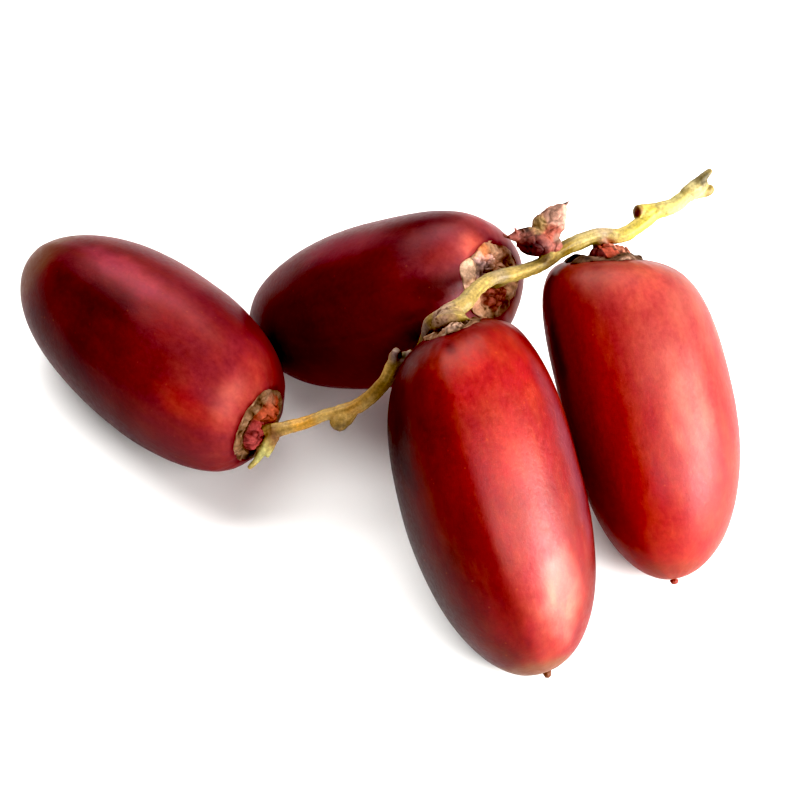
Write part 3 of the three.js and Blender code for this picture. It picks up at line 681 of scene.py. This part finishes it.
growths = dict(
    tornFibreOuter=[(-20.9, -18.6, 14.9, 2), (-22.1, -19.6, 12.6, 1.5), (-23.5, -20.6, 10.6, 1.2),
                    (-25, -21.5, 9.2, 0.7)],
    tornFibreInner=[(-21, -18.3, 14.6, 1.7), (-22.3, -19.1, 12.9, 1.1), (-23.2, -19.9, 11.6, 0.6)],
    tornFibreShort=[(-20.5, -18.9, 14.6, 1.6), (-21.3, -20, 12.9, 1.2), (-21.9, -20.9, 11.5, 0.6)],
    bumpBelow=[(-7.4, -18.7, 21.5, 1.9), (-9, -19.2, 20, 3.1), (-10.1, -19.7, 19.1, 3.1),
               (-10.6, -20, 18.6, 2.5)],
    scarProngLeft=[(-0.7, -15.3, 29.2, 2.3), (-0.8, -14.9, 30.4, 2.1), (-0.5, -14.6, 31.7, 1.4)],
    scarProngRight=[(0.3, -15.1, 29.5, 2.4), (1.1, -15, 30.5, 2), (1.9, -14.9, 31.6, 1.1)],
    sideStub=[(43.6, 9.4, 38.9, 2.6), (41.8, 8.8, 39, 2.8), (40, 8.2, 39.5, 2.8), (38.6, 7.6, 40, 2.5)],
    tornEndUpper=[(46.6, 11.2, 40.4, 2), (48.3, 12.3, 41.4, 1.9), (49.8, 13.4, 42.4, 1.4),
                  (50.9, 14.2, 43, 0.9)],
    tornEndMiddle=[(47, 11.2, 40, 2.6), (48.6, 12.4, 40.9, 2.9), (50, 13.1, 41.6, 2)],
    tornEndLip=[(48, 11.8, 40.1, 2.3), (49.6, 12.2, 39.8, 1.9), (50.7, 12.5, 39.9, 1.7), (51, 12.9, 40.6, 1)],
    barrenCushion=[(23.6, -1.6, 39.2, 2.8), (24.1, -1, 40.4, 2.6), (24.3, -0.8, 40.9, 2.4)],
)
cushions = dict(  # where on the strand each starts, its thickness there and at the cap
    left=((-20.5, -18.4, 15.3), 2.2, 2.4), back=((17.7, -4.9, 39), 2.2, 3),
    front=((8.2, -14.8, 41.5), 3.2, 6.8), right=((32.4, 3.8, 38.8), 2.4, 3),
)
touchGap = 0.3  # between a cushion and the middle of its cap
strandLook = dict(
    spans=6, sides=20, growthSpans=5, growthSides=14, fibreSpans=12,  # steps between knots, and facets around
    voxel=0.16, smoothing=4, ridgeCount=3, ridgeDepth=0.06,
    fibreDepth=0.09, fibreLength=7, fibreAcross=2.6, fibreShade=0.28,
    crumpleDepth=0.1, crumpleSize=1.4, crumpleShade=0.12,
    low="#A08452", base="#837241", baseFrom=(-2, 14),  # its lower stretch, the rest, and where x changes them
    # painted light: a paler tone on the strand's upper side, where light from behind and above falls
    litTopTone="#AE9A74", litTopShare=0.22, upward=(-0.1, 0.5, 0.86), litTopEdge=(0.35, 0.95),
    dotted=((6.6, -16.4, 40.8), 4.6), dotSize=0.5, dotTone="#5A3C2C", dotEdge=(0.15, 0.45), dotShare=0.7,
    dotInner=0.6,
    patches={  # where, how far it reaches and its tone
        "foot": (-20.5, -18.8, 15, 2, "#7E5C3E"),
        "torn fibres": (-23, -20.2, 11.5, 3.5, "#A69F6A"),
        "orange stretch": (-15.5, -18.4, 17.5, 2.6, "#AC8440"),
        "pale stretch": (-12.2, -18.2, 19.1, 2, "#AA8F5A"),
        "orange bend": (-7.5, -18.2, 22.6, 2.4, "#9C7A46"),
        "bump": (-9.7, -19.8, 18.9, 2.1, "#584830"),
        "olive stretch": (-3.6, -17.8, 25.8, 3.2, "#866A3C"),
        "scar stub": (0.3, -15, 31, 2.5, "#86706A"),
        "scar hollow": (0.3, -15.1, 31, 0.9, "#4A4230"),
        "grey rise": (3.6, -13.7, 36, 3.4, "#8E786C"),
        "front junction": (7, -16.5, 41.6, 3.4, "#9C8070"),
        "yellow turn": (10.6, -12.2, 42.2, 2.6, "#7F6E40"),
        "scuffed bend": (15.4, -6, 40.4, 2.2, "#7A6B50"),
        "bright bend": (18.4, -4.6, 39.6, 2.2, "#8E7A44"),
        "upper bend": (21.4, -3.3, 38.8, 1.6, "#8B7747"),
        "grey scuff": (23.8, -1.7, 39.2, 2, "#665238"),
        "ochre": (26.4, 0.6, 39.6, 1.9, "#6A561E"),
        "pale top": (30, 3.2, 40, 2.6, "#8C7E50"),
        "pinkish top": (33, 4.2, 39.8, 2.2, "#84745A"),
        "orange side": (33.4, 3.2, 37.6, 2, "#7A4A34"),
        "bright stretch": (39.4, 6.6, 38.8, 5, "#96883C"),
        "pale end": (45, 9.9, 39.5, 3, "#A0965E"),
        "stub scar": (38.6, 7.5, 40.3, 1.3, "#583016"),
        "free end": (48.2, 12.2, 40.6, 2.6, "#988E66"),
        "torn edge": (49.6, 13.3, 42.5, 2, "#4A4022"),
        "torn lip": (50.6, 12.6, 39.9, 1.2, "#5A4B21"),
    },
)


def curvePoints(knots, perSpan):  # centripetal Catmull-Rom through the knots, with thickness
    knots = np.asarray(knots, dtype=float)
    ends = np.vstack([2 * knots[0] - knots[1], knots, 2 * knots[-1] - knots[-2]])
    rows = []
    for span in range(len(knots) - 1):
        a, b, c, d = ends[span:span + 4, :3]
        gaps = [max(np.linalg.norm(q - p) ** 0.5, 1e-4) for p, q in ((a, b), (b, c), (c, d))]
        first = ((b - a) / gaps[0] - (c - a) / (gaps[0] + gaps[1]) + (c - b) / gaps[1]) * gaps[1]
        second = ((c - b) / gaps[1] - (d - b) / (gaps[1] + gaps[2]) + (d - c) / gaps[2]) * gaps[1]
        for step in range(perSpan):
            t = step / perSpan
            place = (b + first * t + (3 * (c - b) - 2 * first - second) * t * t
                     + (2 * (b - c) + first + second) * t ** 3)
            rows.append([*place, knots[span, 3] + (knots[span + 1, 3] - knots[span, 3]) * t])
    rows.append(knots[-1])
    return np.array(rows)


def framesAlong(middle):  # directions along a line, and two across it that turn as little as they can
    along = np.gradient(middle, axis=0)
    along /= np.linalg.norm(along, axis=1)[:, None]
    sides = [np.cross(along[0], (0.3, 0.2, 1))]
    for direction in along:
        side = sides[-1] - direction * np.dot(sides[-1], direction)
        sides.append(side / np.linalg.norm(side))
    sides = np.array(sides[1:])
    return along, sides, np.cross(along, sides)


def stemPoints(route, perSpan, sides, ridgeCount=0, ridgeDepth=0):
    rows = curvePoints(route, perSpan)
    along, across, third = framesAlong(rows[:, :3])
    angles = evenAngles(sides)
    rings = []
    for row, side, up, part in zip(rows, across, third, np.linspace(0, 1, len(rows))):
        radius = row[3] / 2 * (1 + ridgeDepth * np.cos(ridgeCount * angles + 4 * part * math.pi))
        spokes = np.outer(np.cos(angles), side) + np.outer(np.sin(angles), up)
        rings.append(row[:3] + radius[:, None] * spokes)
    start = rows[0, :3] - along[0] * rows[0, 3] * 0.2
    end = rows[-1, :3] + along[-1] * rows[-1, 3] * 0.2
    return skinOver(start, rings, end)


def meetingPlace(date):  # where a cushion meets its cap
    place = axisPlace(rimPlace(date), date, cap["middle"]) + (touchGap, 0, 0)
    return place @ turnOf(date).T + placeOf(date)


def fusedPiece(name, solids, voxel, smoothing):  # one skin over overlapping solids
    offset, points, faces = 0, [], []
    for solidPoints, solidFaces in solids:
        points.append(solidPoints)
        faces += [tuple(index + offset for index in face) for face in solidFaces]
        offset += len(solidPoints)
    piece = meshOf(name, np.vstack(points) + shift, faces)
    remesh = piece.modifiers.new("fuse", "REMESH")
    remesh.mode = "VOXEL"
    remesh.voxel_size = voxel * mm
    soften = piece.modifiers.new("soften", "SMOOTH")
    soften.factor = 0.5
    soften.iterations = smoothing
    graph = bpy.context.evaluated_depsgraph_get()
    fused = bpy.data.meshes.new_from_object(piece.evaluated_get(graph))
    piece.modifiers.clear()
    rough = piece.data
    piece.data = fused
    bpy.data.meshes.remove(rough)
    piece.data.name = name
    piece.data.shade_smooth()
    return piece


patchBlend = dict(warp=0.3, warpSize=1.6, inner=0.45, outer=1.15)


def blendPatches(points, tone, patches, seed):
    look = patchBlend
    warp = np.stack([crumpleAt(points, look["warpSize"], seed + i) for i in range(3)], axis=1)
    for *spot, reach, code in patches.values():
        away = np.linalg.norm(points + look["warp"] * reach * warp - (np.array(spot) + shift), axis=1)
        own = 1 - ramp(look["inner"] * reach, look["outer"] * reach, away)
        tone = mixColors(tone, code, own)
    return tone


def strandSolids():
    look = strandLook
    solids = [stemPoints(strandRoute, look["spans"], look["sides"], look["ridgeCount"], look["ridgeDepth"])]
    routes = list(growths.values())
    for name, (start, thick, capThick) in cushions.items():
        start, meeting = np.array(start), meetingPlace(dates[name])
        middle = (start + meeting) / 2
        routes.append([(*start, thick), (*middle, (thick + capThick) / 2), (*meeting, capThick)])
    return solids + [stemPoints(route, look["growthSpans"], look["growthSides"]) for route in routes]


def fibresAt(points):  # long lengthwise noise that follows the strand's bends
    look = strandLook
    middle = curvePoints(strandRoute, look["fibreSpans"])[:, :3] + shift
    across, third = framesAlong(middle)[1:]
    lengths = np.concatenate([[0], np.cumsum(np.linalg.norm(np.diff(middle, axis=0), axis=1))])
    tree = kdtree.KDTree(len(middle))
    for index, place in enumerate(middle):
        tree.insert(place, index)
    tree.balance()
    nearest = np.array([tree.find(p)[1] for p in points])
    arm = points - middle[nearest]
    turn = np.arctan2((arm * third[nearest]).sum(axis=1), (arm * across[nearest]).sum(axis=1))
    wide = look["fibreAcross"]
    fibre = [lengths[nearest] / look["fibreLength"], np.cos(turn) * wide, np.sin(turn) * wide]
    return crumpleAt(np.stack(fibre, axis=1), 1, 80)


def makeStrand():
    look = strandLook
    piece = fusedPiece("fruitingStrand", strandSolids(), look["voxel"], look["smoothing"])
    points, normals = vertexValues(piece, "co") / mm, vertexValues(piece, "normal")
    fibres = fibresAt(points)
    lumps = crumpleAt(points, look["crumpleSize"], 84)
    relief = look["fibreDepth"] * fibres + look["crumpleDepth"] * lumps
    movePoints(piece, points + normals * relief[:, None])
    tone = mixColors(look["low"], look["base"], ramp(*look["baseFrom"], points[:, 0] - shift[0]))
    tone = blendPatches(points, tone, look["patches"], 90)
    paintedTopLight = ramp(*look["litTopEdge"], normals @ np.array(look["upward"]))  # painted light: paler on the top, which faces the lamps
    tone = mixColors(tone, look["litTopTone"], look["litTopShare"] * paintedTopLight)
    tone = tone * (1 + look["fibreShade"] * fibres + look["crumpleShade"] * lumps)[:, None]
    spot, reach = look["dotted"]  # brown dots on the front cushion
    dots = ramp(*look["dotEdge"], noiseAt(points, look["dotSize"], 88))
    away = np.linalg.norm(points - (np.array(spot) + shift), axis=1)
    dots *= 1 - ramp(look["dotInner"] * reach, reach, away)
    tone = mixColors(tone, look["dotTone"], look["dotShare"] * dots)
    dressIn(piece, tone, dryMaterial("fibrousStrandRind", 0.55, 0.5, 0.06))
    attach(piece, "root")
    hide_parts("strand")


makeStrand()
print("strand made")


# The cap that never filled: a dry bud of crumpled petals.
barren = dict(
    base=(24.6, -0.4, 41.3), baseSize=(1.6, 1.5, 1.1), heart=(21.9, -0.6, 41.8), heartSize=(3.1, 2.2, 2.1),
    petals=[  # belly, tip, width, thickness and the point that the inner face looks towards
        ((22.5, 1, 44.3), (26.7, 3, 47.1), 5, 1.6, (24.2, 2.6, 42)),
        ((21.5, 1.6, 43.8), (23, 2.5, 45.2), 4.4, 1.3, (24.2, 2.6, 42)),
        ((21.4, 0, 43.4), (17.2, -0.5, 43), 3.2, 1.2, (21.5, 1.6, 41.6)),
        ((22.4, -2.6, 41.4), (18.6, -0.9, 42.3), 3.4, 1.4, (22, -0.2, 43)),
    ],
    petalParts=(0.04, 0.96), outline=(0.12, 0.86, 0.8), thinEdge=0.6, cupping=0.35,
    spikeSpans=4, spikeSides=8,
    spikes=[  # ragged points at its ends
        [(19.4, -0.3, 43.2, 0.9), (18.7, 0, 43.9, 0.5), (18.4, 0.3, 44.5, 0.25)],
        [(20.2, 0, 43.4, 0.8), (19.6, 0.4, 44.2, 0.3)],
        [(18, -0.5, 43, 0.8), (17, -0.4, 43.2, 0.5), (16.5, -0.2, 43.6, 0.25)],
        [(26, 2.6, 46.4, 0.8), (26.8, 3.1, 47.3, 0.5), (27.1, 3.3, 47.6, 0.25)],
    ],
    voxel=0.1, smoothing=3, crumpleDepth=0.1, crumpleSize=1.7, crumpleShade=0.25,
    veinDepth=0.05, veinSize=0.6, veinShade=0.2,
    creaseDepth=0.1, creaseSize=2.4, creaseWidth=0.22, creaseShade=0.35,
    baseTone="#7A4A40",
    patches={
        "upper petal": (25.6, 2.2, 45.4, 3.2, "#A48272"),
        "salmon fold": (24.4, 0.3, 43.4, 1.9, "#82483A"),
        "pale foot": (25.4, 0.2, 42.2, 1.3, "#70564A"),
        "olive middle": (22.2, 1.4, 44.3, 2, "#A08660"),
        "left shoulder": (20, 0.7, 43.6, 1.2, "#3E2820"),
        # partly dark maroon tissue, partly painted shade on the bud's underside
        "maroon underside in shade": (21.4, -2, 41.2, 3.2, "#34080C"),
        "pink left end": (18.2, -0.2, 43.2, 1.4, "#70423A"),
        "grey flake": (26.6, 3.2, 47.2, 0.7, "#30302A"),
    },
)


def petalPoints(belly, tip, width, thick, cup, stations=26, columns=15):
    base, belly, tip, cup = (np.array(p, dtype=float) for p in (barren["base"], belly, tip, cup))
    start, grow, power = barren["outline"]
    part = np.linspace(1, -1, columns)[:, None]
    body = thick / 2 * (1 - barren["thinEdge"] * part * part)
    rings = []
    for along in np.linspace(*barren["petalParts"], stations):
        middle = base * (1 - along) ** 2 + belly * 2 * along * (1 - along) + tip * along ** 2
        forward = (belly - base) * (1 - along) + (tip - belly) * along
        forward /= np.linalg.norm(forward)
        inward = cup - middle
        inward -= forward * np.dot(inward, forward)
        inward /= np.linalg.norm(inward)
        across = np.cross(inward, forward)
        half = width / 2 * math.sin(math.pi * (start + grow * along)) ** power
        bend = barren["cupping"] * half * part * part
        rings.append(np.vstack([
            middle + across * part * half * face + inward * (bend + face * body) for face in (1, -1)
        ]))
    return skinOver(base, rings, tip)


def lumpPoints(size, place, sides=24, stations=12):
    angles = evenAngles(sides)
    rings = []
    for station in range(1, stations):
        rise = -math.cos(station / stations * math.pi)
        wide = math.sin(station / stations * math.pi)
        ring = np.stack([wide * np.cos(angles), wide * np.sin(angles), np.full(sides, rise)], axis=1)
        rings.append(ring * size + place)
    return skinOver(np.array(place) - (0, 0, size[2]), rings, np.array(place) + (0, 0, size[2]))


def makeBarrenCap():
    look = barren
    solids = [lumpPoints(look["baseSize"], look["base"]), lumpPoints(look["heartSize"], look["heart"])]
    solids += [petalPoints(*petal) for petal in look["petals"]]
    solids += [stemPoints(spike, look["spikeSpans"], look["spikeSides"]) for spike in look["spikes"]]
    piece = fusedPiece("barrenCap", solids, look["voxel"], look["smoothing"])
    points, normals = vertexValues(piece, "co") / mm, vertexValues(piece, "normal")
    folds = crumpleAt(points, look["crumpleSize"], 110)
    veins = crumpleAt(points, look["veinSize"], 114)
    crease = 1 - ramp(0, look["creaseWidth"], np.abs(crumpleAt(points, look["creaseSize"], 118)))
    relief = look["crumpleDepth"] * folds + look["veinDepth"] * veins - look["creaseDepth"] * crease
    movePoints(piece, points + normals * relief[:, None])
    tone = blendPatches(points, look["baseTone"], look["patches"], 120)
    shade = 1 + look["crumpleShade"] * folds + look["veinShade"] * veins
    tone = tone * (shade * (1 - look["creaseShade"] * crease))[:, None]
    dressIn(piece, tone, dryMaterial("driedBudTissue", 0.7, 0.4, 0.08))
    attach(piece, "root")
    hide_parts("barren_cap")


makeBarrenCap()
print("barren cap made")


# Table, light and camera

stage = dict(
    cameraHeight=52, cameraDistance=500, pixelsPerMm=5.8, imageSize=800, sensor=36, clipStart=10,
    table=4000, tableTone="#F7F6F4", tableRoughness=(0.62, 0.7), tableGrain=900,  # lumps a metre
    lights={  # white soft boxes aimed at the bunch: two angles, distance, width and length in metres, watts
        "lowWindow": (337, 12.5, 1.0, 0.6, 0.42, 28),
        "frontWindow": (302, 36, 1.0, 1.2, 0.5, 16.5),
        "backWindow": (109, 55, 1.0, 1.2, 0.8, 18.5),
    },
    sky={"Color": (1, 1, 1, 1), "Strength": 0.14},
    gamma=0.8, blackLevel=0.06,  # a firm contrast with deep blacks
)


def makeTable():
    half = stage["table"] / 2
    corners = [(-half, -half, 0), (half, -half, 0), (half, half, 0), (-half, half, 0)]
    table = meshOf("table", corners, [(0, 1, 2, 3)])
    material, tree, shader = newMaterial("whitePaperSweep")
    grain = addNode(tree, "TexNoise", {"Scale": stage["tableGrain"]})
    low, high = stage["tableRoughness"]
    rough = addNode(tree, "MapRange", {"Value": grain, "To Min": low, "To Max": high})
    setNode(tree, shader, {"Base Color": paint(stage["tableTone"]), "Roughness": rough})
    table.data.materials.append(material)


def makeCamera():
    raised = math.radians(stage["cameraHeight"])
    back = Vector((0, -math.cos(raised), math.sin(raised)))
    camera = addObject("camera", bpy.data.cameras.new("camera"))
    camera.location = Vector(shift) * mm + back * stage["cameraDistance"] * mm
    camera.rotation_euler = back.to_track_quat("Z", "Y").to_euler()
    camera.data.sensor_width = stage["sensor"]
    focal = stage["pixelsPerMm"] * stage["cameraDistance"]
    camera.data.lens = focal * stage["sensor"] / stage["imageSize"]
    camera.data.clip_start = stage["clipStart"] * mm
    bpy.context.scene.camera = camera


def addLight(name, azimuth, height, distance, wide, tall, watts):
    light = addObject(name, bpy.data.lights.new(name, "AREA"))
    turn, rise = math.radians(azimuth), math.radians(height)
    direction = Vector((math.cos(turn) * math.cos(rise), math.sin(turn) * math.cos(rise), math.sin(rise)))
    light.location = direction * distance
    light.rotation_euler = direction.to_track_quat("Z", "Y").to_euler()
    light.data.shape = "RECTANGLE"
    light.data.size = wide
    light.data.size_y = tall
    light.data.energy = watts


def setSkyAndView():
    world = bpy.data.worlds.new("studio")
    bpy.context.scene.world = world
    world.use_nodes = True
    setNode(world.node_tree, world.node_tree.nodes["Background"], stage["sky"])
    view = bpy.context.scene.view_settings
    view.view_transform = "Standard"
    view.gamma = stage["gamma"]
    view.use_curve_mapping = True
    view.curve_mapping.black_level = [stage["blackLevel"]] * 3
    view.curve_mapping.update()


makeTable()
makeCamera()
for name, settings in stage["lights"].items():
    addLight(name, *settings)
setSkyAndView()
print("stage and camera set")
